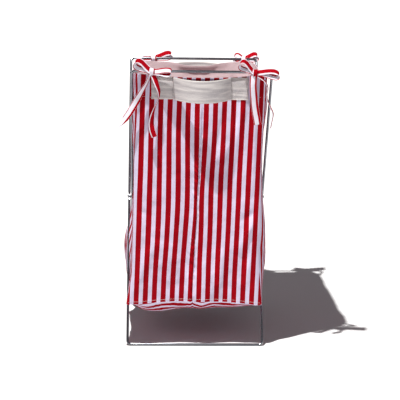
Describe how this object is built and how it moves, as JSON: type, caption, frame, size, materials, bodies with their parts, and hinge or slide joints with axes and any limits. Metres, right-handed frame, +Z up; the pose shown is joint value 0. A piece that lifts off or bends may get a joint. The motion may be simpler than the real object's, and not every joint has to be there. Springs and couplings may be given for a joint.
{
  "type": "plastic bag holder",
  "caption": "Folding cross-leg stand of chromed wire loops, with a lined striped cloth bag tied open between the two top rods and a webbing grab handle on its front and back.",
  "frame": {"origin": "centre of the footprint on the floor, midway between the two bottom rods and between the side legs, stand open", "axes": "+X to the right seen from the front, +Y towards the back, +Z up"},
  "size_m": [0.356, 0.42, 0.6633],
  "materials": {
    "chromed_wire": "bright chrome-plated steel wire",
    "rivet_steel": "plated steel rivets, spacers and washers",
    "striped_cotton": "plain-weave cotton with even 10 mm red and white stripes, stitched seams",
    "cotton_lining": "plain off-white cotton lining, turned in at the hem",
    "satin_webbing": "grey-beige woven webbing with a satin sheen, box-stitched ends",
    "tie_tape": "narrow cotton ties, white with a red edge"
  },
  "bodies": {
    "back_frame": {"back_top_rail": "chromed_wire", "front_bottom_rail": "chromed_wire", "back_loop_left_leg": "chromed_wire", "back_loop_right_leg": "chromed_wire", "back_left_bow": "tie_tape", "back_right_bow": "tie_tape"},
    "front_frame": {"front_top_rail": "chromed_wire", "back_bottom_rail": "chromed_wire", "front_loop_left_leg": "chromed_wire", "front_loop_right_leg": "chromed_wire", "front_left_bow": "tie_tape", "front_right_bow": "tie_tape"},
    "pivots": {"left_rivet": "rivet_steel", "right_rivet": "rivet_steel", "left_spacer": "rivet_steel", "right_spacer": "rivet_steel", "left_washer": "rivet_steel", "right_washer": "rivet_steel"},
    "bag_front": {"front_panel": "striped_cotton", "front_hem": "cotton_lining", "front_handle": "satin_webbing", "front_handle_left_tab": "satin_webbing", "front_handle_right_tab": "satin_webbing", "front_left_tails": "tie_tape", "front_right_tails": "tie_tape"},
    "bag_back": {"back_panel": "striped_cotton", "back_hem": "cotton_lining", "back_handle": "satin_webbing", "back_handle_left_tab": "satin_webbing", "back_handle_right_tab": "satin_webbing", "back_left_tails": "tie_tape", "back_right_tails": "tie_tape"},
    "bag": {"left_side_panel": "striped_cotton", "right_side_panel": "striped_cotton", "left_side_hem": "cotton_lining", "right_side_hem": "cotton_lining", "bottom_panel": "striped_cotton"}
  },
  "joints": [
    {"name": "frame_fold", "type": "hinge", "parent": "back_frame", "child": "front_frame", "pos_m": [0, 0, 0.3165], "axis": [-1, 0, 0], "range_deg": [0, 51]},
    {"name": "pivot_turn", "type": "hinge", "parent": "back_frame", "child": "pivots", "pos_m": [0, 0, 0.3165], "axis": [-1, 0, 0], "range_deg": [0, 25.5]},
    {"name": "front_panel_swing", "type": "hinge", "parent": "front_frame", "child": "bag_front", "pos_m": [0, -0.175, 0.63], "axis": [-1, 0, 0], "range_deg": [-25.5, 0]},
    {"name": "back_panel_swing", "type": "hinge", "parent": "back_frame", "child": "bag_back", "pos_m": [0, 0.175, 0.63], "axis": [-1, 0, 0], "range_deg": [0, 25.5]},
    {"name": "bag_gather", "type": "slide", "parent": "bag_front", "child": "bag", "axis": [0, -1, 0], "range_m": [0, 0.1521], "deforming": ["left_side_panel", "right_side_panel", "left_side_hem", "right_side_hem", "bottom_panel"]}
  ],
  "couplings": [
    {"joint": "pivot_turn", "follows": "frame_fold", "ratio": 0.5},
    {"joint": "front_panel_swing", "follows": "frame_fold", "ratio": -0.5},
    {"joint": "back_panel_swing", "follows": "frame_fold", "ratio": 0.5},
    {"joint": "bag_gather", "follows": "frame_fold", "m_per_rad": 0.17078}
  ]
}
